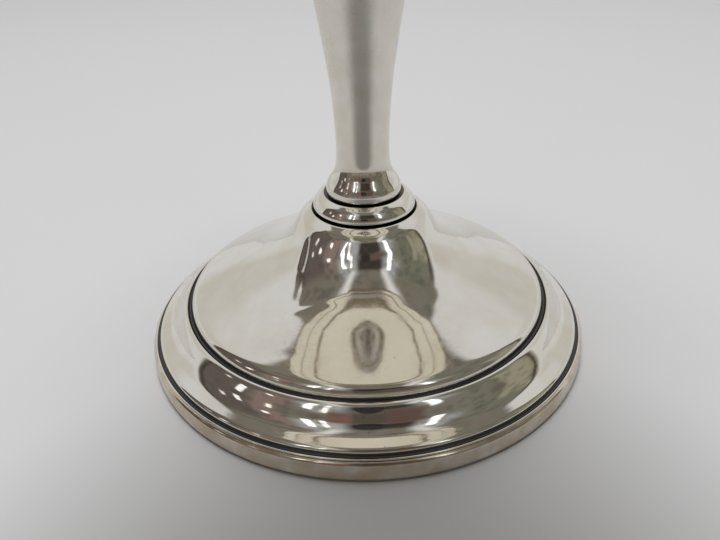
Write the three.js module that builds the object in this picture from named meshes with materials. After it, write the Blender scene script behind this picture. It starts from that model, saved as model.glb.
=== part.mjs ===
// Weighted silver candlestick: a spun foot over a cast weight, a tapering stem round a tie rod, and a
// candle cup with a lift-out nozzle. Millimetres, +Z up, origin at the centre of the underside.
import * as THREE from 'three';

// Driving dimensions
const FOOT_RADIUS = 54;
const NECK_RADIUS = 6.1; // narrowest part of the stem
const BELLY_RADIUS = 15.2; // widest part of the stem
const PAN_RADIUS = 29;
const CANDLE_RADIUS = 11.1;
const SHEET = 0.6; // thickness of the spun silver
const GAP = 0.3; // clearance between neighbouring pieces
const ROD_RADIUS = 2.4;
const ROD_HOLE = ROD_RADIUS + GAP;
const SEAT_BORE = 4.5; // hole round the rod in the thin shells

// Heights, from the underside to the top
const FELT_TOP = 1.2;
const PLATE_TOP = 1.9;
const RIM_BOTTOM = 0.3;
const RIM_TOP = 4.9;
const POCKET_TOP = 8.2;
const FOOT_TOP = 35;
const COLLAR_TOP = 39;
const STEM_TOP = 166;
const RING_TOP = 170.2;
const SPOOL_TOP = 184;
const LINER_FLOOR = 197.5;
const CUP_TOP = 221.4;
const FLANGE_TOP = 222;
const PAN_SEAT = 225;
const TOP = 228.6;

// Facets round each kind of piece
const WIDE_FACETS = 32;
const SLIM_FACETS = 24;
const ROD_FACETS = 12;

const finishes = {
  silver: { color: 0xd9d6cd, roughness: 0.12, metalness: 1 },
  felt: { color: 0x23372b, roughness: 0.95, metalness: 0 },
  brass: { color: 0xb08d4c, roughness: 0.35, metalness: 1 },
  steel: { color: 0x8d9094, roughness: 0.4, metalness: 1 },
  plaster: { color: 0xc9c2b4, roughness: 0.9, metalness: 0 },
};

const candlestick = new THREE.Group();

function add(name, geometry, finish) {
  const mesh = new THREE.Mesh(geometry, new THREE.MeshStandardMaterial(finishes[finish]));
  mesh.name = name;
  candlestick.add(mesh);
}

// One named piece turned about the vertical axis from an outline of [radius, height] points.
function turned(name, outline, finish, facets = SLIM_FACETS) {
  const points = outline.map(([r, z]) => new THREE.Vector2(r, z));
  add(name, new THREE.LatheGeometry(points, facets).rotateX(Math.PI / 2), finish);
}

// A closed outline from an outer and an inner run of points, both travelled upwards.
const closed = (outer, inner) => [...outer, ...inner.slice().reverse(), outer[0]];

const ring = (inner, outer, bottom, top) =>
  closed([[outer, bottom], [outer, top]], [[inner, bottom], [inner, top]]);

// The run moved down and towards the axis by the clearance.
const cleared = (points) => points.map(([r, z]) => [r - GAP, z - GAP]);

// A smooth run through knots of [radius, height, heading]. The heading is the direction of travel in
// degrees: 0 is outwards, 90 is up, 180 is inwards.
function run(knots, steps = 2) {
  const points = [knots[0].slice(0, 2)];
  for (let i = 1; i < knots.length; i++) {
    const [r0, z0, from] = knots[i - 1];
    const [r1, z1, to] = knots[i];
    const reach = Math.hypot(r1 - r0, z1 - z0) / 3;
    const a = THREE.MathUtils.degToRad(from);
    const b = THREE.MathUtils.degToRad(to);
    const curve = new THREE.CubicBezierCurve(
      new THREE.Vector2(r0, z0),
      new THREE.Vector2(r0 + reach * Math.cos(a), z0 + reach * Math.sin(a)),
      new THREE.Vector2(r1 - reach * Math.cos(b), z1 - reach * Math.sin(b)),
      new THREE.Vector2(r1, z1),
    );
    for (let s = 1; s <= steps; s++) {
      const p = curve.getPoint(s / steps);
      points.push([p.x, p.y]);
    }
  }
  return points;
}

// A hexagonal nut with a rod hole, its lower face at the given height.
function hexNut(name, corner, height, bottom) {
  const shape = new THREE.Shape();
  for (let i = 0; i < 6; i++) {
    const a = (i * Math.PI) / 3;
    shape[i ? 'lineTo' : 'moveTo'](corner * Math.cos(a), corner * Math.sin(a));
  }
  shape.closePath();
  shape.holes.push(new THREE.Path().absarc(0, 0, ROD_HOLE, 0, 2 * Math.PI, true));
  const options = { depth: height, bevelEnabled: false, curveSegments: ROD_FACETS };
  add(name, new THREE.ExtrudeGeometry(shape, options).translate(0, 0, bottom), 'steel');
}

// Foot: felt, closing plate, rim wire, spun shell and the weight that fills it
function buildFoot() {
  const padRadius = FOOT_RADIUS - 3.5;
  const plateRadius = FOOT_RADIUS - 3;
  const rimBore = FOOT_RADIUS - 1.6;
  const skirt = rimBore - GAP;

  turned('felt_pad', [[0, 0], [padRadius, 0], [padRadius, FELT_TOP], [0, FELT_TOP]], 'felt', WIDE_FACETS);
  turned('base_plate',
    [[0, FELT_TOP], [plateRadius, FELT_TOP], [plateRadius, PLATE_TOP], [0, PLATE_TOP]], 'brass', WIDE_FACETS);

  const rimOutside = [
    [FOOT_RADIUS - 0.6, RIM_BOTTOM],
    [FOOT_RADIUS, RIM_BOTTOM + 0.7],
    ...run([[FOOT_RADIUS, RIM_TOP - 0.8, 90], [FOOT_RADIUS - 0.8, RIM_TOP, 180]]),
  ];
  turned('foot_rim', closed(rimOutside, [[rimBore, RIM_BOTTOM], [rimBore, RIM_TOP]]), 'silver', WIDE_FACETS);

  const bead = [[skirt, FELT_TOP], [skirt, 5.2], [53.3, 5.2], [53.35, 5.6], [52.9, 5.7], [52.4, 5.7]];
  const moulding = run([
    [52.2, 6.2, 95],
    [51.2, 7.05, 160],
    [49.4, 7.7, 158],
    [47, 9.9, 128],
    [44.8, 12.3, 150],
  ]);
  const groove = [[44.2, 12.45], [43.7, 12.6]];
  const dish = run([
    [43.4, 13.3, 105],
    [42.4, 14.75, 140],
    [41.2, 15.35, 156],
    [30.8, 20, 155],
    [24.4, 23.5, 148],
    [20.1, 26.8, 136],
    [17.3, 30.2, 122],
    [12.9, 34.5, 138],
  ]);
  const inside = run([
    [skirt - SHEET, FELT_TOP + 1, 90],
    [48.5, 7.1, 155],
    [43, 12.2, 130],
    [41, 14.7, 156],
    [30.5, 19.4, 155],
    [24, 22.9, 148],
    [19.7, 26.2, 136],
    [16.8, 29.6, 122],
    [12, 33.6, 138],
  ]);
  turned('foot_shell', closed(
    [...bead, ...moulding, ...groove, ...dish, [12.3, FOOT_TOP]],
    [[skirt - SHEET, FELT_TOP], ...inside, [SEAT_BORE, FOOT_TOP - SHEET], [SEAT_BORE, FOOT_TOP]],
  ), 'silver', WIDE_FACETS);

  const pocketRadius = 9;
  const weightTop = FOOT_TOP - 1.7;
  turned('base_weight', closed(
    [[plateRadius - 1, PLATE_TOP], ...cleared(inside).slice(2), [ROD_HOLE, weightTop]],
    [[pocketRadius, PLATE_TOP], [pocketRadius, POCKET_TOP], [ROD_HOLE, POCKET_TOP]],
  ), 'plaster', WIDE_FACETS);
}

// The ring between the foot and the stem
function buildLowerCollar() {
  const outside = run([
    [12.1, FOOT_TOP + 0.7, 80],
    [11.9, FOOT_TOP + 1.7, 112],
    [9.9, COLLAR_TOP - 0.5, 148],
  ]);
  turned('lower_collar', closed(
    [[11.6, FOOT_TOP], ...outside, [9.3, COLLAR_TOP - 0.3], [8.9, COLLAR_TOP]],
    [[SEAT_BORE, FOOT_TOP], [SEAT_BORE, COLLAR_TOP]],
  ), 'silver');
}

// Stem: a spun shell from the foot bulb to the shoulder, packed with filling round the rod
function buildStem() {
  const foot = COLLAR_TOP;
  const mouth = 6.6;
  const outside = run([
    [8.95, foot + 0.5, 80],
    [8.7, foot + 2.1, 112],
    [6.85, foot + 5, 118],
    [NECK_RADIUS, foot + 10.2, 90],
    [6.6, foot + 23, 84],
    [9.35, foot + 43, 81],
    [13, foot + 71, 84],
    [BELLY_RADIUS, foot + 101, 90],
    [13, foot + 118, 112],
    [8.6, STEM_TOP - 2.2, 165],
  ]);
  const inside = run([
    [8.1, foot + 1.6, 90],
    [6.2, foot + 5, 118],
    [NECK_RADIUS - SHEET, foot + 10.2, 90],
    [8.6, foot + 43, 81],
    [BELLY_RADIUS - SHEET, foot + 101, 90],
    [12.2, foot + 118, 114],
    [7.6, STEM_TOP - 3, 165],
  ]);
  turned('stem_shell', closed(
    [[8.3, foot], ...outside, [7.6, STEM_TOP - 1.3], [7.5, STEM_TOP]],
    [[SEAT_BORE, foot], [SEAT_BORE, foot + SHEET], [8.1, foot + SHEET], ...inside,
      [mouth, STEM_TOP - 2.6], [mouth, STEM_TOP]],
  ), 'silver');

  turned('stem_filling', closed(cleared(inside), [[ROD_HOLE, foot + 1.3], [ROD_HOLE, STEM_TOP - 3.3]]), 'plaster');
}

// Above the stem: a ring and a waisted spool that carries the cup
function buildShoulder() {
  const ringOutside = run([
    [8.3, STEM_TOP + 0.5, 60],
    [9.6, STEM_TOP + 2.1, 90],
    [8.3, RING_TOP - 0.5, 120],
  ]);
  turned('shoulder_ring', closed(
    [[7.6, STEM_TOP], ...ringOutside, [7.6, RING_TOP]],
    [[ROD_HOLE, STEM_TOP], [ROD_HOLE, RING_TOP]],
  ), 'silver');

  const spoolOutside = run([
    [7.6, RING_TOP + 0.6, 115],
    [5.2, RING_TOP + 6, 90],
    [7.2, SPOOL_TOP - 1.4, 45],
    [8, SPOOL_TOP, 90],
  ]);
  turned('neck_spool', closed(
    [[7.2, RING_TOP], ...spoolOutside],
    [[ROD_HOLE, RING_TOP], [ROD_HOLE, SPOOL_TOP]],
  ), 'silver');
}

// Candle cup: an urn-shaped shell, its rim wire, and a flanged liner for the nozzle
function buildCup() {
  const floor = SPOOL_TOP;
  const wireBore = 15.4;
  const outside = run([
    [8.4, floor + 0.8, 30],
    [13.4, floor + 5.6, 56],
    [15.6, floor + 14, 90],
    [14.3, floor + 25.6, 94],
    [15.1, CUP_TOP - 3.6, 65],
  ]);
  const inside = run([
    [7.4, floor + 1.6, 30],
    [12.8, floor + 6.2, 56],
    [15, floor + 14, 90],
    [13.7, floor + 25.6, 94],
  ]);
  turned('cup_shell', closed(
    [[7.6, floor], ...outside, [15.1, CUP_TOP]],
    [[ROD_HOLE, floor], [ROD_HOLE, floor + 1], [6.4, floor + 1], ...inside, [13.7, CUP_TOP]],
  ), 'silver');

  turned('cup_rim', closed(
    [[wireBore, CUP_TOP - 3], ...run([[16, CUP_TOP - 3, 0], [17, CUP_TOP - 1.5, 90], [16, CUP_TOP, 180]])],
    [[wireBore, CUP_TOP]],
  ), 'silver');

  const linerRadius = CANDLE_RADIUS + 2.1;
  const linerBore = linerRadius - SHEET;
  const corner = 2;
  turned('cup_liner', [
    [0, LINER_FLOOR], [linerRadius - corner, LINER_FLOOR], [linerRadius, LINER_FLOOR + corner],
    [linerRadius, CUP_TOP], [16.4, CUP_TOP], [16.4, FLANGE_TOP], [linerBore, FLANGE_TOP],
    [linerBore, LINER_FLOOR + corner], [linerBore - 1.8, LINER_FLOOR + SHEET], [0, LINER_FLOOR + SHEET],
  ], 'brass');
}

// Tie rod from the pocket under the weight to the floor of the cup, with a washer and nut at each end
function buildRod() {
  const lowerWasher = POCKET_TOP - 1.1;
  const lowerNut = 3.6;
  const upperWasher = SPOOL_TOP + 1;
  const upperNut = upperWasher + 0.9;
  turned('rod_washer', ring(ROD_HOLE, 7, lowerWasher, POCKET_TOP), 'steel', ROD_FACETS);
  hexNut('rod_nut', 4.6, lowerNut, lowerWasher - lowerNut);
  turned('cup_washer', ring(ROD_HOLE, 6, upperWasher, upperNut), 'steel', ROD_FACETS);
  hexNut('cup_nut', 4.6, lowerNut, upperNut);
  const chamfer = 0.4;
  const bottom = PLATE_TOP + 0.7;
  const top = upperNut + lowerNut + 1;
  turned('tie_rod', [
    [0, bottom], [ROD_RADIUS - chamfer, bottom], [ROD_RADIUS, bottom + chamfer],
    [ROD_RADIUS, top - chamfer], [ROD_RADIUS - chamfer, top], [0, top],
  ], 'steel', ROD_FACETS);
}

// Lift-out nozzle: a sleeve for the candle, a drip pan and the wire round its edge
function buildNozzle() {
  const sleeveRadius = CANDLE_RADIUS + 0.8;
  const sleeveBottom = LINER_FLOOR + SHEET + 1;
  const corner = 1.2;
  const lip = 13.4;
  turned('nozzle_sleeve', [
    [0, sleeveBottom], [sleeveRadius - corner, sleeveBottom], [sleeveRadius, sleeveBottom + corner],
    [sleeveRadius, PAN_SEAT], [lip, PAN_SEAT],
    ...run([[lip + 0.2, PAN_SEAT + 0.8, 80], [14.6, TOP - 0.6, 60], [14, TOP, 180]]),
    [13.4, TOP], [CANDLE_RADIUS, PAN_SEAT + 0.6], [CANDLE_RADIUS, sleeveBottom + corner],
    [0, sleeveBottom + corner],
  ], 'silver');

  const panHole = sleeveRadius + GAP;
  const wire = 1;
  const wireHeight = PAN_SEAT + 1.9;
  const panEdge = PAN_RADIUS - 2 * wire - GAP;
  const under = [
    [panEdge, wireHeight - 0.35], [21.5, FLANGE_TOP + 0.9], [18.6, FLANGE_TOP], [panHole, FLANGE_TOP],
  ];
  const over = run([
    [panEdge, wireHeight + 0.35, 208],
    [20.4, PAN_SEAT - 1, 186],
    [15.8, PAN_SEAT - 0.8, 150],
    [lip + 0.4, PAN_SEAT, 180],
  ]);
  turned('drip_pan', [...under.reverse(), ...over, [panHole, PAN_SEAT], under[0]], 'silver', WIDE_FACETS);

  const sides = 6;
  const wireOutline = [];
  for (let i = 0; i <= sides; i++) {
    const a = (i * 2 * Math.PI) / sides + Math.PI / sides;
    wireOutline.push([PAN_RADIUS - wire + wire * Math.cos(a), wireHeight + wire * Math.sin(a)]);
  }
  turned('pan_wire', wireOutline, 'silver', WIDE_FACETS);
}

buildFoot();
buildLowerCollar();
buildStem();
buildShoulder();
buildCup();
buildRod();
buildNozzle();

export default candlestick;
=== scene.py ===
"""A weighted silver candlestick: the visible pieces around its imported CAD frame.

Each round piece is turned about +Z from a smooth outline of [radius, height] points in millimetres.
Heights and the foot's radius are read from the CAD nodes' boxes.
"""

import math

import bpy
import numpy as np
from mathutils import Matrix, Vector


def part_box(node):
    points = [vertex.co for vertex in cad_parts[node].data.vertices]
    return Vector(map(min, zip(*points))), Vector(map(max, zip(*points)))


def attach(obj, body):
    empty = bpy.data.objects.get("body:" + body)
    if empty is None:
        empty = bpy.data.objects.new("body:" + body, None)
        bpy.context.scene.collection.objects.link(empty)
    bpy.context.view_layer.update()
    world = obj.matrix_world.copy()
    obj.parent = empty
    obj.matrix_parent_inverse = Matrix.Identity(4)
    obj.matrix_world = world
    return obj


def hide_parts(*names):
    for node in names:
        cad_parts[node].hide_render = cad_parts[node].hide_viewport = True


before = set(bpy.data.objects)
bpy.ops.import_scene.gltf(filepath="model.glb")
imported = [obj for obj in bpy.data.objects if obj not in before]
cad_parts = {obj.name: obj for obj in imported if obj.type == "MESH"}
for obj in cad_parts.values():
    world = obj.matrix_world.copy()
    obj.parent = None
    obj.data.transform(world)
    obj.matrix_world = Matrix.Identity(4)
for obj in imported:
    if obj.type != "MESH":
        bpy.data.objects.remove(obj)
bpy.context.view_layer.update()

MM = 0.001


def top(node):
    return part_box(node)[1].z / MM


def bottom(node):
    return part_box(node)[0].z / MM


# Radii and heights in the frame, in millimetres
FOOT_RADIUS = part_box("foot_rim")[1].x / MM
PAN_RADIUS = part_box("pan_wire")[1].x / MM
FELT_TOP = top("felt_pad")
RIM_BOTTOM = bottom("foot_rim")
RIM_TOP = top("foot_rim")
FOOT_TOP = top("foot_shell")
COLLAR_TOP = top("lower_collar")
STEM_TOP = top("stem_shell")
RING_TOP = top("shoulder_ring")
SPOOL_TOP = top("neck_spool")
LINER_FLOOR = bottom("cup_liner")
CUP_TOP = top("cup_shell")
FLANGE_TOP = top("cup_liner")
SLEEVE_FLOOR = bottom("nozzle_sleeve")
TOP = top("nozzle_sleeve")
PAN_SEAT = FLANGE_TOP + 3
SHEET = 0.6
GAP = 0.3
SEAT_BORE = 4.5
CANDLE_RADIUS = 11.1


# ---------------------------------------------------------------- outlines

def run(knots, step=0.3, soften=4):
    """A smooth run through knots of [radius, height, heading]. The heading is the direction of travel
    in degrees: 0 is outwards, 90 is up, 180 is inwards. Softening evens out the curvature at knots."""
    points = [np.array(knots[0][:2], float)]
    for (r0, z0, from_), (r1, z1, to) in zip(knots, knots[1:]):
        start, end = np.array([r0, z0], float), np.array([r1, z1], float)
        length = np.linalg.norm(end - start)
        a, b = math.radians(from_), math.radians(to)
        c0 = start + length / 3 * np.array([math.cos(a), math.sin(a)])
        c1 = end - length / 3 * np.array([math.cos(b), math.sin(b)])
        n = max(2, round(length / step))
        for t in np.arange(1, n + 1) / n:
            u = 1 - t
            points.append(u**3 * start + 3 * u * u * t * c0 + 3 * u * t * t * c1 + t**3 * end)
    points = np.array(points)
    for _ in range(soften):
        points[1:-1] += 0.5 * ((points[:-2] + points[2:]) / 2 - points[1:-1])
    return [tuple(p) for p in points]


def arc(centre, radius, start, end, steps=8):
    """Points on a circle in the outline's plane, from one angle to another, in degrees."""
    angles = np.radians(np.linspace(start, end, steps + 1))
    return [(centre[0] + radius * math.cos(a), centre[1] + radius * math.sin(a)) for a in angles]


def dark(points, amount=1.0):
    """Marks outline points as lying in an oxidised groove."""
    return [(*point[:2], amount) for point in points]


# ---------------------------------------------------------------- meshes

def turned(name, outline, segments=256):
    """A piece turned about +Z. Where the outline starts or ends on the axis, it has one point there.
    A third number on an outline's point says how oxidised it is."""
    angles = 2 * np.pi * np.arange(segments) / segments
    vertices, rings, tarnish = [], [], []
    for r, z, *oxide in outline:
        count = 1 if r == 0 else segments
        rings.append(range(len(vertices), len(vertices) + count))
        vertices.extend(zip(r * np.cos(angles[:count]), r * np.sin(angles[:count]), [z] * count))
        tarnish.extend([oxide[0] if oxide else 0.0] * count)
    pairs = list(zip(rings, rings[1:]))
    if outline[0][0] > 0:
        pairs.append((rings[-1], rings[0]))
    faces = []
    for low, high in pairs:
        for i in range(segments):
            j = (i + 1) % segments
            if len(low) == 1:
                faces.append((low[0], high[j], high[i]))
            elif len(high) == 1:
                faces.append((low[i], low[j], high[0]))
            else:
                faces.append((low[i], low[j], high[j], high[i]))
    mesh = bpy.data.meshes.new(name)
    mesh.from_pydata((np.array(vertices) * MM).tolist(), [], faces)
    mesh.shade_smooth()
    mesh.set_sharp_from_angle(angle=math.radians(50))
    mesh.attributes.new("tarnish", "FLOAT", "POINT").data.foreach_set("value", tarnish)
    piece = bpy.data.objects.new(name, mesh)
    bpy.context.scene.collection.objects.link(piece)
    return piece


def normals_of(mesh):
    normals = np.empty(3 * len(mesh.vertices))
    mesh.vertex_normals.foreach_get("vector", normals)
    return normals.reshape(-1, 3)


def dent(piece, outline, dents):
    """Presses dents into a turned piece. Each is a line between two places on it, [turn, radius] and
    [turn, radius], with a half width and a depth. Turns are in degrees, from the front to the right."""
    mesh = piece.data
    places = np.empty(3 * len(mesh.vertices))
    mesh.vertices.foreach_get("co", places)
    places = places.reshape(-1, 3) / MM
    normals = normals_of(mesh)
    radii, heights = np.array(sorted(point[:2] for point in outline)).T
    press = np.zeros(len(places))
    for start, end, width, depth in dents:
        ends = []
        for turn, radius in (start, end):
            angle = math.radians(turn)
            height = np.interp(radius, radii, heights)
            ends.append(np.array([radius * math.sin(angle), -radius * math.cos(angle), height]))
        along = ends[1] - ends[0]
        share = np.clip((places - ends[0]) @ along / (along @ along), 0, 1)
        distance = np.linalg.norm(places - ends[0] - share[:, None] * along, axis=1)
        # Shallower towards both ends
        along_it = np.sin(np.pi * (0.15 + 0.7 * share))
        press += depth * np.exp(-((distance / width) ** 2)) * along_it
    moved = (places - press[:, None] * normals) * MM
    mesh.vertices.foreach_set("co", moved.ravel())
    mesh.update()


def stand_for(piece, node, body, material):
    piece.data.materials.append(material)
    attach(piece, body)
    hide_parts(node)


# ---------------------------------------------------------------- materials

class Maths:
    """Short names for the maths nodes of one node tree."""

    def __init__(self, tree):
        self.nodes, self.links = tree.nodes, tree.links

    def put(self, socket, value):
        if isinstance(value, bpy.types.NodeSocket):
            self.links.new(value, socket)
        else:
            socket.default_value = value

    def do(self, operation, *values):
        node = self.nodes.new("ShaderNodeMath")
        node.operation = operation
        for socket, value in zip(node.inputs, values):
            self.put(socket, value)
        return node.outputs[0]

    def step(self, value, start, end, low=0, high=1):
        """Goes smoothly from low to high as the value goes from start to end."""
        node = self.nodes.new("ShaderNodeMapRange")
        node.interpolation_type = "SMOOTHSTEP"
        for socket, v in zip(node.inputs, (value, start, end, low, high)):
            self.put(socket, v)
        return node.outputs[0]

    def band(self, value, low, high, soft):
        """1 between low and high, and 0 outside them."""
        half = soft / 2
        rise = self.step(value, low - half, low + half)
        fall = self.step(value, high - half, high + half, 1, 0)
        return self.do("MULTIPLY", rise, fall)

    def mix(self, share, first, second):
        node = self.nodes.new("ShaderNodeMix")
        node.data_type = "RGBA"
        self.put(node.inputs[0], share)
        self.put(node.inputs[6], first)
        self.put(node.inputs[7], second)
        return node.outputs[2]


class Surface(Maths):
    """A material's nodes: a Principled shader, with textures laid out in millimetres round the piece."""

    def __init__(self, name):
        self.material = bpy.data.materials.new(name)
        self.material.use_nodes = True
        super().__init__(self.material.node_tree)
        self.shader = self.nodes["Principled BSDF"]
        place = self.nodes.new("ShaderNodeVectorMath")
        place.operation = "SCALE"
        self.links.new(self.nodes.new("ShaderNodeTexCoord").outputs["Object"], place.inputs[0])
        place.inputs["Scale"].default_value = 1 / MM
        self.place = place.outputs[0]
        split = self.nodes.new("ShaderNodeSeparateXYZ")
        self.links.new(self.place, split.inputs[0])
        x, y, self.height = split.outputs
        self.turn = self.do("ARCTAN2", x, self.do("MULTIPLY", y, -1.0))
        squares = self.do("ADD", self.do("MULTIPLY", x, x), self.do("MULTIPLY", y, y))
        self.radius = self.do("SQRT", squares)

    def set(self, **values):
        for name, value in values.items():
            self.put(self.shader.inputs[name.replace("_", " ").title()], value)

    def stretched(self, turn, height, radius):
        """Turn, height and radius, each stretched by its own number, as a place to lay a texture in."""
        node = self.nodes.new("ShaderNodeCombineXYZ")
        places = zip((self.turn, self.height, self.radius), (turn, height, radius))
        for socket, (place, stretch) in zip(node.inputs, places):
            self.put(socket, self.do("MULTIPLY", place, stretch))
        return node.outputs[0]

    def noise(self, size, detail=3, place=None, rough=0.5):
        """Noise from 0 to 1, with features about that many millimetres across."""
        node = self.nodes.new("ShaderNodeTexNoise")
        self.put(node.inputs["Vector"], place or self.place)
        node.inputs["Scale"].default_value = 1 / size
        node.inputs["Detail"].default_value = detail
        node.inputs["Roughness"].default_value = rough
        return node.outputs["Fac"]

    def cells(self, size):
        """Distance from the middle of irregular cells about that many millimetres across."""
        node = self.nodes.new("ShaderNodeTexVoronoi")
        self.put(node.inputs["Vector"], self.place)
        node.inputs["Scale"].default_value = 1 / size
        return node.outputs["Distance"]

    def bump(self, *layers):
        """Bumps from pairs of a 0 to 1 height and its depth in millimetres."""
        normal = None
        for height, depth in layers:
            node = self.nodes.new("ShaderNodeBump")
            node.inputs["Distance"].default_value = depth * MM
            self.put(node.inputs["Height"], height)
            if normal:
                self.links.new(normal, node.inputs["Normal"])
            normal = node.outputs["Normal"]
        self.links.new(normal, self.shader.inputs["Normal"])


def silver(name, gloss=0.05, haze=0.13, film=0.0, satin=0.0):
    """Hand-polished silver. It has fine rubbing marks, a slight haze, a warm cast in places, small
    pits, and black oxide in its grooves. gloss and haze are its roughness where clear and where hazy.
    film is how much brown film it has. satin is how much rougher it gets up the stem."""
    s = Surface(name)
    rub = s.noise(1, 4, s.stretched(26, 0.5, 0.5), 0.6)
    cloud = s.noise(9, 3)
    wipe = s.step(s.noise(0.35, 2, s.stretched(9, 1, 5)), 0.6, 0.74)
    hazy = s.do("MULTIPLY", s.step(rub, 0.42, 0.72), s.step(cloud, 0.35, 0.7))

    groove = s.nodes.new("ShaderNodeAttribute")
    groove.attribute_name = "tarnish"
    uneven = s.do("MULTIPLY", s.do("SUBTRACT", s.noise(0.5, 4), 0.5), 0.5)
    oxide = s.step(s.do("ADD", groove.outputs["Fac"], uneven), 0.35, 0.9)
    pit = s.do("MULTIPLY", s.step(s.cells(2.6), 0.06, 0.035), s.step(s.noise(14, 2), 0.56, 0.62))

    clean = s.mix(s.step(cloud, 0.35, 0.7), (0.80, 0.78, 0.73, 1), (0.75, 0.72, 0.64, 1))
    wiped = s.mix(s.do("MULTIPLY", wipe, 0.25), clean, (0.70, 0.67, 0.60, 1))
    filmed = s.do("MULTIPLY", s.step(s.noise(5, 4), 0.1, 0.75), film)
    worn = s.mix(filmed, wiped, (0.50, 0.38, 0.24, 1))
    pitted = s.mix(s.do("MULTIPLY", pit, 0.8), worn, (0.10, 0.08, 0.06, 1))
    s.set(base_color=s.mix(oxide, pitted, (0.075, 0.072, 0.070, 1)))
    s.set(metallic=1.0)
    upper = s.step(s.height, COLLAR_TOP + 2, COLLAR_TOP + 30, 0, satin)
    polish = s.do("ADD", s.step(hazy, 0, 1, gloss, haze), upper)
    s.set(roughness=s.do("ADD", s.step(oxide, 0, 1, polish, 0.3), s.do("MULTIPLY", wipe, 0.05)))
    s.bump((s.noise(7, 2), 0.02), (rub, 0.0015), (wipe, 0.0008), (s.noise(0.6, 3), 0.0006))
    return s.material


def baize(name):
    """Green felt: short matted fibres, with paler and darker patches and a soft sheen."""
    s = Surface(name)
    fibre = s.noise(0.18, 6, rough=0.75)
    matted = s.noise(2.2, 3)
    dark, pale = (0.018, 0.06, 0.034, 1), (0.055, 0.14, 0.085, 1)
    tone = s.mix(s.step(fibre, 0.3, 0.7), dark, pale)
    s.set(base_color=s.mix(s.step(matted, 0.4, 0.75, 0, 0.35), tone, (0.10, 0.15, 0.09, 1)))
    s.set(roughness=s.step(fibre, 0.2, 0.8, 0.8, 1.0), sheen_weight=0.6)
    s.bump((fibre, 0.12), (matted, 0.25))
    return s.material


def brass(name):
    """Plain brass sheet: drawing marks, a dulled brown film and a few spots."""
    s = Surface(name)
    drawn = s.noise(1, 4, s.stretched(60, 0.4, 1))
    film = s.noise(4, 5)
    spots = s.step(s.cells(3.5), 0.12, 0.05)
    bright = s.mix(s.step(drawn, 0.3, 0.7), (0.80, 0.60, 0.28, 1), (0.66, 0.47, 0.20, 1))
    dull = s.mix(s.step(film, 0.45, 0.7, 0, 0.8), bright, (0.33, 0.20, 0.08, 1))
    s.set(base_color=s.mix(s.do("MULTIPLY", spots, 0.6), dull, (0.10, 0.06, 0.03, 1)))
    s.set(metallic=1.0, roughness=s.step(film, 0.3, 0.75, 0.2, 0.45))
    s.bump((drawn, 0.01), (film, 0.01))
    return s.material


def steel(name):
    """Turned steel: tool rings, a grey film and specks of rust."""
    s = Surface(name)
    rings = s.noise(1, 3, s.stretched(1, 5, 5))
    speck = s.step(s.noise(0.8, 5, rough=0.7), 0.56, 0.66)
    rust = s.do("MULTIPLY", speck, s.step(s.noise(6, 2), 0.45, 0.6))
    bare = s.mix(s.step(rings, 0.35, 0.65), (0.50, 0.51, 0.53, 1), (0.62, 0.63, 0.64, 1))
    s.set(base_color=s.mix(rust, bare, (0.20, 0.07, 0.02, 1)))
    s.set(metallic=s.step(rust, 0, 1, 1.0, 0.0), roughness=s.step(rust, 0, 1, 0.3, 0.85))
    s.bump((rings, 0.02), (rust, 0.04))
    return s.material


def plaster(name):
    """Cast plaster: off-white and chalky, with grains, stains and small air holes."""
    s = Surface(name)
    stain = s.noise(9, 5)
    grain = s.noise(0.35, 4, rough=0.7)
    holes = s.step(s.cells(1.8), 0.16, 0.09)
    chalk = s.mix(s.step(grain, 0.3, 0.7), (0.70, 0.66, 0.58, 1), (0.84, 0.81, 0.75, 1))
    stained = s.mix(s.step(stain, 0.5, 0.75, 0, 0.6), chalk, (0.52, 0.45, 0.34, 1))
    s.set(base_color=s.mix(s.do("MULTIPLY", holes, 0.7), stained, (0.25, 0.21, 0.16, 1)))
    s.set(roughness=s.step(grain, 0.2, 0.8, 0.75, 0.95))
    s.bump((grain, 0.05), (s.do("SUBTRACT", 1.0, holes), 0.2))
    return s.material


# ---------------------------------------------------------------- the pieces

# The dents of long use on the foot's cone and dish: two ends as [turn, radius], half width, depth
DENTS = [
    ([-52, 16.6], [-45, 20.5], 0.9, 0.12),
    ([-45, 20.5], [-36, 26.5], 0.8, 0.07),
    ([-38, 14.6], [-34, 15.4], 0.6, 0.06),
    ([-9, 14.0], [-24, 17.8], 0.7, -0.03),
    ([-5, 14.6], [-14, 18.6], 0.9, 0.025),
    ([-31, 27.0], [-12, 23.2], 0.9, 0.05),
    ([-34, 29.0], [-17, 25.0], 0.9, -0.035),
    ([-30, 38.6], [-24, 37.4], 1.1, 0.012),
    ([33, 14.8], [31, 17.6], 1.1, 0.03),
    ([9, 17.4], [19, 17.0], 0.7, 0.03),
    ([62, 27], [66, 31], 1.6, 0.015),
]


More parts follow.
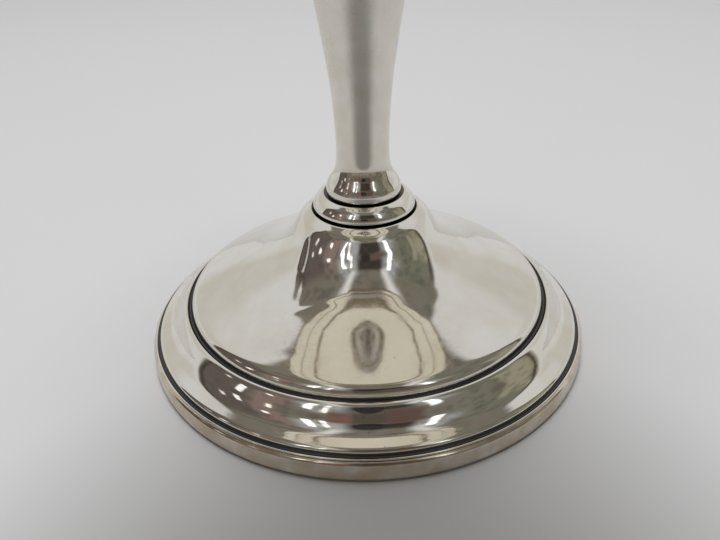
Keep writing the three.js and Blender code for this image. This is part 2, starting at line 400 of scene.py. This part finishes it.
def build_foot(metal, rim_metal):
    rim_bore = FOOT_RADIUS - 1.6
    skirt = rim_bore - GAP

    edge = FOOT_RADIUS - 0.6
    rim = [
        (rim_bore, RIM_TOP - 0.1),
        (rim_bore, RIM_BOTTOM),
        (FOOT_RADIUS - 0.5, RIM_BOTTOM),
        *arc((FOOT_RADIUS - 0.5, RIM_BOTTOM + 0.5), 0.5, -75, 0, 5),
        *run([[FOOT_RADIUS, RIM_BOTTOM + 1, 90], [FOOT_RADIUS, RIM_TOP - 1.2, 90],
              [edge, RIM_TOP - 0.1, 145], [edge - 0.5, RIM_TOP, 180]], 0.15, 2),
    ]
    stand_for(turned("foot_rim_band", rim), "foot_rim", "candlestick", rim_metal)

    bead = arc((FOOT_RADIUS - 0.92, RIM_TOP + 0.36), 0.22, -90, 120, 10)
    shelf = dark([(FOOT_RADIUS - 1.15, RIM_TOP + 0.42), (FOOT_RADIUS - 1.4, RIM_TOP + 0.4),
                  (FOOT_RADIUS - 1.65, RIM_TOP + 0.5), (FOOT_RADIUS - 1.85, RIM_TOP + 0.75),
                  (FOOT_RADIUS - 1.9, RIM_TOP + 1.05)])
    moulding = run([
        [52.1, 6.1, 80],
        [51.75, 6.64, 142],
        [51.1, 6.94, 155],
        [49.4, 7.7, 155],
        [48.2, 8.6, 138],
        [47, 10, 122],
        [45.7, 11.75, 130],
        [44.9, 12.45, 160],
    ], 0.2)
    hollow = dark([(44.45, 12.25), (44.2, 12.05), (43.9, 12.0), (43.62, 12.2), (43.5, 12.6)])
    groove = [(44.6, 12.5), *hollow, *dark([(43.44, 12.95)], 0.3)]
    dish = run([
        [43.4, 13.3, 100],
        [43.0, 14.15, 125],
        [42.3, 14.8, 148],
        [41.4, 15.25, 155.5],
        [36, 17.65, 156],
        [30.8, 20.0, 155.3],
        [27.5, 21.65, 152],
        [24.4, 23.5, 148],
        [20.1, 26.8, 136.4],
        [17.3, 30.2, 122],
        [15.2, 33.2, 128],
        [12.7, 35, 142],
    ], 0.25, 8)
    crown = dark([(12.45, FOOT_TOP), (12.25, FOOT_TOP - 0.15), (11.9, FOOT_TOP - 0.3)])
    hem = [(skirt, FELT_TOP), (skirt, RIM_TOP + 0.1)]
    outer = [*hem, *bead, *shelf, *moulding, *groove, *dish, *crown]
    inside = [(SEAT_BORE, FOOT_TOP - 0.3), (SEAT_BORE, FOOT_TOP - 0.7), (12, 33.6), (16.8, 29.4),
              (19.7, 26), (24, 22.7), (30.5, 19.2), (41, 14.4), (43, 11.9), (48.5, 6.9),
              (skirt - SHEET, FELT_TOP + 1), (skirt - SHEET, FELT_TOP)]
    foot = turned("foot_dish", outer + inside, 360)
    dent(foot, dish, DENTS)
    stand_for(foot, "foot_shell", "candlestick", metal)


def build_collar(metal):
    outer = run([
        [12.05, FOOT_TOP + 0.55, 70],
        [12, FOOT_TOP + 1.3, 105],
        [11.2, FOOT_TOP + 2.7, 124],
        [9.95, COLLAR_TOP - 0.35, 142],
        [9.6, COLLAR_TOP - 0.2, 165],
    ], 0.15)
    groove = dark([(11.3, FOOT_TOP - 0.2), (11.5, FOOT_TOP + 0.05), (11.8, FOOT_TOP + 0.3)])
    seat = dark([(9.35, COLLAR_TOP - 0.3), (9.1, COLLAR_TOP - 0.35), (8.6, COLLAR_TOP - 0.2)])
    outline = [(SEAT_BORE, FOOT_TOP - 0.2), *groove, *outer, *seat, (SEAT_BORE, COLLAR_TOP - 0.2)]
    stand_for(turned("collar_ring", outline), "lower_collar", "candlestick", metal)


def build_stem(metal):
    foot = COLLAR_TOP
    outer = run([
        [8.75, foot + 0.15, 60],
        [9.0, foot + 0.7, 88],
        [8.85, foot + 1.6, 104],
        [8.25, foot + 3, 120],
        [6.87, foot + 4.9, 122],
        [6.3, foot + 6.8, 100],
        [6.1, foot + 10.2, 91],
        [6.25, foot + 17, 87],
        [7.05, foot + 27, 82.5],
        [9.33, foot + 42.4, 81],
        [13, foot + 71, 84],
        [15.2, foot + 101, 90],
        [13, foot + 118, 112],
        [8.6, STEM_TOP - 2.2, 165],
    ], 0.3, 20)
    seat = dark([(8.4, foot - 0.1), (8.55, foot + 0.08)])
    neck = [(8.35, STEM_TOP - 2.0), (8.25, STEM_TOP - 1.6), (8.25, STEM_TOP - 0.8)]
    groove = dark([(8.1, STEM_TOP - 0.6), (7.6, STEM_TOP - 0.4), (7.5, STEM_TOP)])
    outline = [(SEAT_BORE, foot - 0.1), *seat, *outer, *neck, *groove, (SEAT_BORE, STEM_TOP)]
    stand_for(turned("stem", outline, 216), "stem_shell", "candlestick", metal)


def build_shoulder(metal):
    ring = run([
        [8.2, STEM_TOP + 0.5, 45],
        [9.6, STEM_TOP + 2.1, 90],
        [8.2, RING_TOP - 0.5, 135],
    ], 0.15, 6)
    under = dark([(7.6, STEM_TOP), (7.7, STEM_TOP + 0.4)])
    over = dark([(7.6, RING_TOP - 0.4), (7.5, RING_TOP)])
    outline = [(SEAT_BORE, STEM_TOP), *under, *ring, *over, (SEAT_BORE, RING_TOP)]
    stand_for(turned("stem_ring", outline), "shoulder_ring", "candlestick", metal)

    spool = run([
        [7.6, RING_TOP + 0.6, 115],
        [5.2, RING_TOP + 6, 90],
        [7.2, SPOOL_TOP - 1.4, 45],
        [8, SPOOL_TOP - 0.3, 80],
    ], 0.2, 10)
    under = dark([(7.2, RING_TOP), (7.3, RING_TOP + 0.3)])
    over = dark([(7.6, SPOOL_TOP)])
    outline = [(SEAT_BORE, RING_TOP), *under, *spool, *over, (SEAT_BORE, SPOOL_TOP)]
    stand_for(turned("spool", outline), "neck_spool", "candlestick", metal)


def build_cup(metal, brass):
    floor = SPOOL_TOP
    outer = run([
        [8.4, floor + 0.7, 25],
        [13.4, floor + 5.6, 56],
        [15.6, floor + 14, 90],
        [14.3, floor + 25.6, 94],
        [15.1, CUP_TOP - 3.6, 65],
    ], 0.25, 20)
    under = dark([(7.9, floor), (8, floor + 0.5)])
    inside = [(13.7, CUP_TOP), (13.7, CUP_TOP - 12), (14.9, floor + 14), (12.6, floor + 6.2),
              (6.4, floor + 1), (3, floor + 1)]
    outline = [(3, floor), *under, *outer, (15.1, CUP_TOP), *inside]
    stand_for(turned("cup", outline), "cup_shell", "candlestick", metal)

    wire = [(15.2, CUP_TOP), (15.2, CUP_TOP - 3), *arc((15.5, CUP_TOP - 1.5), 1.5, -80, 80, 16)]
    stand_for(turned("cup_wire", wire), "cup_rim", "candlestick", metal)

    radius = CANDLE_RADIUS + 2.1
    bore = radius - SHEET
    outline = [(0, LINER_FLOOR), (radius - 2, LINER_FLOOR), (radius, LINER_FLOOR + 2), (radius, CUP_TOP),
               (16.3, CUP_TOP), (16.4, CUP_TOP + 0.15), (16.4, FLANGE_TOP - 0.15), (16.3, FLANGE_TOP),
               (bore + 0.2, FLANGE_TOP), (bore, FLANGE_TOP - 0.2), (bore, LINER_FLOOR + 2),
               (bore - 1.8, LINER_FLOOR + SHEET), (0, LINER_FLOOR + SHEET)]
    stand_for(turned("liner", outline, 192), "cup_liner", "candlestick", brass)


def build_nozzle(metal):
    radius = CANDLE_RADIUS + 0.8
    lip = run([
        [13.5, PAN_SEAT + 0.1, 60],
        [13.7, PAN_SEAT + 1.1, 78],
        [14.4, TOP - 0.9, 62],
        [14.55, TOP - 0.35, 110],
        [14.1, TOP, 180],
        [13.6, TOP - 0.3, 235],
        [12.4, PAN_SEAT + 1.9, 240],
        [CANDLE_RADIUS, PAN_SEAT + 0.2, 268],
    ], 0.15, 6)
    outline = [(0, SLEEVE_FLOOR), (radius - 1.2, SLEEVE_FLOOR), (radius, SLEEVE_FLOOR + 1.2),
               (radius, PAN_SEAT), *lip, (CANDLE_RADIUS, SLEEVE_FLOOR + 2),
               (CANDLE_RADIUS - 0.8, SLEEVE_FLOOR + 1.2), (0, SLEEVE_FLOOR + 1.2)]
    stand_for(turned("sleeve", outline), "nozzle_sleeve", "nozzle", metal)

    hole = radius + GAP
    wire = 1
    wire_height = PAN_SEAT + 1.9
    edge = PAN_RADIUS - 2 * wire
    under = run([
        [18.6, FLANGE_TOP, 0],
        [21.5, FLANGE_TOP + 0.9, 22],
        [edge, wire_height - 0.35, 30],
    ], 0.3, 6)
    over = run([
        [edge, wire_height + 0.35, 208],
        [20.4, PAN_SEAT - 1, 186],
        [15.8, PAN_SEAT - 0.8, 150],
        [13.8, PAN_SEAT, 165],
    ], 0.3, 6)
    outline = [(hole, FLANGE_TOP), *under, *over, (hole, PAN_SEAT)]
    stand_for(turned("pan", outline), "drip_pan", "nozzle", metal)

    bead = arc((PAN_RADIUS - wire, wire_height), wire, 0, 360, 24)[:-1]
    stand_for(turned("pan_edge", bead), "pan_wire", "nozzle", metal)


def build_felt(felt):
    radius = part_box("felt_pad")[1].x / MM
    outline = [(0, 0), (radius - 0.3, 0), (radius, 0.3), (radius, FELT_TOP), (0, FELT_TOP)]
    stand_for(turned("felt", outline, 192), "felt_pad", "candlestick", felt)


def finish_hidden(material, nodes):
    """CAD nodes that stand for themselves, inside the candlestick."""
    for node in nodes:
        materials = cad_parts[node].data.materials
        materials.clear()
        materials.append(material)


# ---------------------------------------------------------------- stage, light and camera

TABLE_RADIUS = 0.6
CAMERA_PLACE = Vector((0, -0.1542, 0.10985))


def plain(name, **values):
    """One of the stage's own materials, with the same values all over."""
    material = bpy.data.materials.new(name)
    material.use_nodes = True
    shader = material.node_tree.nodes["Principled BSDF"]
    for socket, value in values.items():
        shader.inputs[socket.replace("_", " ").title()].default_value = value
    return material


def disc(name, across, up, corners):
    """A flat oval, from its half sizes."""
    angles = 2 * np.pi * np.arange(corners) / corners
    mesh = bpy.data.meshes.new(name)
    places = np.column_stack([across * np.cos(angles), up * np.sin(angles), 0 * angles])
    mesh.from_pydata(places.tolist(), [], [range(corners)])
    piece = bpy.data.objects.new(name, mesh)
    bpy.context.scene.collection.objects.link(piece)
    return piece


def card(name, across, up, material):
    """A flat oval card that the camera doesn't see."""
    piece = disc(name, across, up, 48)
    piece.data.materials.append(material)
    piece.visible_camera = False
    piece.visible_diffuse = False
    return piece


def build_stage():
    """The pale table, and in front of it the camera's own dark body, which the silver mirrors."""
    table = disc("table", TABLE_RADIUS, TABLE_RADIUS, 128)
    table.data.materials.append(plain("paper", base_color=(0.75, 0.75, 0.76, 1), roughness=0.6))

    black = plain("black_cloth", base_color=(0.06, 0.055, 0.05, 1), roughness=0.7)
    body = card("camera_body", 0.026, 0.026, black)
    body.location = (0, -0.170, 0.121)
    body.rotation_euler = (math.radians(90 - 35), 0, 0)
    body.visible_shadow = False
    flag = card("flag", 0.078, 0.115, plain("gauze", alpha=0.78))
    flag.location = (-0.002, -0.14, 0.125)
    flag.visible_glossy = False


# What the silver reflects in front, painted over each other in order. Each lies between two azimuths
# and two elevations in degrees. Azimuth 0 is towards the photograph's viewer and 90 to the right.
ROOM = [
    # azimuths, elevations, softness, light
    ((-110, -66), (-5, 50), 10, (0.14, 0.12, 0.11)),
    ((-66, -48), (16, 50), 8, (0.27, 0.20, 0.185)),
    ((50, 100), (18, 62), 12, (0.20, 0.20, 0.16)),
    ((76, 110), (-5, 34), 6, (0.34, 0.33, 0.25)),
    ((-50, 50), (-20, 5), 10, (0.32, 0.29, 0.27)),
    ((-20, 26), (14, 34), 8, (0.10, 0.085, 0.07)),
    ((-24, 30), (36, 50), 6, (0.05, 0.045, 0.04)),
    ((-22, -9), (14, 32), 4, (0.23, 0.12, 0.105)),
    ((9, 30), (22, 36), 7, (0.14, 0.09, 0.08)),
    ((-44, -14), (34, 60), 12, (0.44, 0.45, 0.46)),
    ((28, 54), (36, 60), 12, (0.40, 0.41, 0.42)),
    ((-38, -33), (31, 48), 2, (2.4, 2.5, 2.6)),
    ((-27, -24), (30, 47), 1.6, (2.4, 2.5, 2.6)),
    ((35, 42), (31, 50), 3, (2.0, 2.1, 2.2)),
    ((-76, -72), (15, 25), 1.6, (2.0, 2.0, 2.0)),
    ((-62, -58), (32, 36), 2, (1.8, 1.7, 1.7)),
    ((-56, -53), (17, 19), 1, (1.8, 1.7, 1.7)),
    ((-87, -84), (22, 27), 2, (1.2, 1.2, 1.2)),
]
FRONT = (0.21, 0.195, 0.165)
PAPER = (0.72, 0.72, 0.73)
PAPER_SHADED = (0.64, 0.63, 0.60)
CREAM = (0.66, 0.63, 0.54)
BROWN = (0.16, 0.12, 0.08)
CEILING = (0.30, 0.28, 0.25)
STRIP_LIGHT = (0.8, 0.8, 0.816)
CLUTTER = (0.09, 0.085, 0.075)
SHADE = (0.07, 0.06, 0.05)

# The arched opening's edges, on a flat ceiling one unit overhead: how far back the top is, how fast the
# sides fall away, and the line's width
ARCHES = [(-0.31, 15.0, 0.016), (-0.25, 24.0, 0.01), (-0.15, 42.0, 0.02)]

# The bright strips on it, from the opening down to the windows: place across, slant and width
STRIPS = [(-0.27, 0.03, 0.05), (0.30, -0.15, 0.06)]


def build_world():
    """The room that the silver reflects. White paper hangs behind and at the sides. A darker room with
    bright windows lies in front. Above, an arched opening shows a cream ceiling."""
    world = bpy.data.worlds.new("studio")
    bpy.context.scene.world = world
    world.use_nodes = True
    tree = world.node_tree
    m = Maths(tree)
    direction = tree.nodes.new("ShaderNodeTexCoord").outputs["Generated"]
    split = tree.nodes.new("ShaderNodeSeparateXYZ")
    tree.links.new(direction, split.inputs[0])
    x, y, z = split.outputs
    degrees = 180 / math.pi
    azimuth = m.do("MULTIPLY", m.do("ARCTAN2", x, m.do("MULTIPLY", y, -1.0)), degrees)
    elevation = m.do("MULTIPLY", m.do("ARCSINE", z), degrees)
    colour = (*FRONT, 1)
    for azimuths, elevations, soft, light in ROOM:
        patch = m.do("MULTIPLY", m.band(azimuth, *azimuths, soft), m.band(elevation, *elevations, soft))
        colour = m.mix(patch, colour, (*light, 1))

    # Clutter that breaks the room up
    clutter = tree.nodes.new("ShaderNodeTexNoise")
    clutter.inputs["Scale"].default_value = 7
    clutter.inputs["Detail"].default_value = 5
    tree.links.new(direction, clutter.inputs["Vector"])
    busy = m.do("MULTIPLY", m.step(clutter.outputs["Fac"], 0.45, 0.7), 0.6)
    colour = m.mix(busy, colour, (*CLUTTER, 1))

    # Places on a flat ceiling: across to the right, and back from overhead
    above = m.do("MAXIMUM", z, 0.05)
    across = m.do("DIVIDE", x, above)
    back = m.do("DIVIDE", y, above)

    for start, slant, width in STRIPS:
        centre = m.do("ADD", m.do("MULTIPLY", back, slant), start)
        beside = m.do("ABSOLUTE", m.do("SUBTRACT", across, centre))
        strip = m.do("MULTIPLY", m.step(beside, 0, width * 2, 1, 0), m.band(back, -0.75, 0.05, 0.2))
        colour = m.mix(strip, colour, (*STRIP_LIGHT, 1))

    # The paper's edge, and the arched opening in front of it
    aside = m.do("ABSOLUTE", across)
    edge = m.do("MULTIPLY", m.band(y, 0.13, 0.17, 0.04), m.step(aside, 0.7, 1.3))
    colour = m.mix(edge, colour, (*SHADE, 1))
    colour = m.mix(m.step(y, 0.18, 0.22), colour, (*PAPER, 1))
    curve = m.do("POWER", aside, 4.0)
    arches = [m.do("SUBTRACT", back, m.do("MULTIPLY", curve, fall)) for _, fall, _ in ARCHES]
    reveal = m.mix(m.step(aside, 0.14, 0.26), (*CEILING, 1), (*CREAM, 1))
    for n, inside in ((0, reveal), (-1, (*CREAM, 1))):
        start = ARCHES[n][0]
        colour = m.mix(m.step(arches[n], start, start + 0.02), colour, inside)
    for arch, (start, _, width) in zip(arches, ARCHES):
        line = m.step(m.do("ABSOLUTE", m.do("SUBTRACT", arch, start)), width, width * 2, 1, 0)
        colour = m.mix(m.do("MULTIPLY", line, 0.85), colour, (*BROWN, 1))

    # The hanging paper, shaded in a band round the candlestick
    hanging = m.mix(m.band(z, 0.2, 0.56, 0.14), (*PAPER, 1), (*PAPER_SHADED, 1))
    colour = m.mix(m.step(y, 0.22, 0.30), colour, hanging)

    # The room lights matt surfaces less than it shows in the silver, and the camera sees plain paper
    path = tree.nodes.new("ShaderNodeLightPath").outputs
    colour = m.mix(m.do("MULTIPLY", path["Is Diffuse Ray"], 0.55), colour, (0, 0, 0, 1))
    colour = m.mix(path["Is Camera Ray"], colour, (*PAPER, 1))
    tree.links.new(colour, tree.nodes["Background"].inputs["Color"])


def build_lights():
    """One broad soft light above and behind, which the silver doesn't mirror."""
    data = bpy.data.lights.new("overhead", "AREA")
    data.shape = "DISK"
    data.size = 0.65
    data.energy = 11.6
    light = bpy.data.objects.new("overhead", data)
    light.location = (-0.04, 0.06, 1.3)
    light.rotation_mode = "QUATERNION"
    light.rotation_quaternion = (light.location - Vector((0, 0.05, 0))).to_track_quat("Z", "Y")
    light.visible_glossy = False
    bpy.context.scene.collection.objects.link(light)


def build_camera():
    """The photograph's camera: a little above the foot and close to it, looking down."""
    pitch, yaw, roll = math.radians(31.1), math.radians(-0.535), math.radians(-1.7)
    level = Vector((math.sin(yaw), math.cos(yaw), 0))
    forward = math.cos(pitch) * level - math.sin(pitch) * Vector((0, 0, 1))
    right = forward.cross(Vector((0, 0, 1))).normalized()
    up = right.cross(forward)
    across = math.cos(roll) * right + math.sin(roll) * up
    upward = -math.sin(roll) * right + math.cos(roll) * up
    data = bpy.data.cameras.new("camera")
    data.sensor_width = 36
    data.lens = 35.85
    data.clip_start = 0.01
    camera = bpy.data.objects.new("camera", data)
    bpy.context.scene.collection.objects.link(camera)
    camera.matrix_world = Matrix((across, upward, -forward)).transposed().to_4x4()
    camera.location = CAMERA_PLACE
    bpy.context.scene.camera = camera


polished = silver("polished_silver", film=0.1)
brass_sheet = brass("brass_sheet")
turned_steel = steel("turned_steel")
cast_plaster = plaster("cast_plaster")
build_foot(polished, silver("filmed_silver", gloss=0.09, haze=0.2, film=0.8))
build_collar(polished)
build_stem(silver("stem_silver", film=0.25, satin=0.2))
build_shoulder(polished)
build_cup(polished, brass_sheet)
build_nozzle(polished)
build_felt(baize("green_baize"))
finish_hidden(brass_sheet, ["base_plate"])
finish_hidden(cast_plaster, ["base_weight", "stem_filling"])
finish_hidden(turned_steel, ["tie_rod", "rod_washer", "rod_nut", "cup_washer", "cup_nut"])
build_stage()
build_world()
build_lights()
build_camera()
bpy.context.scene.view_settings.view_transform = "Standard"
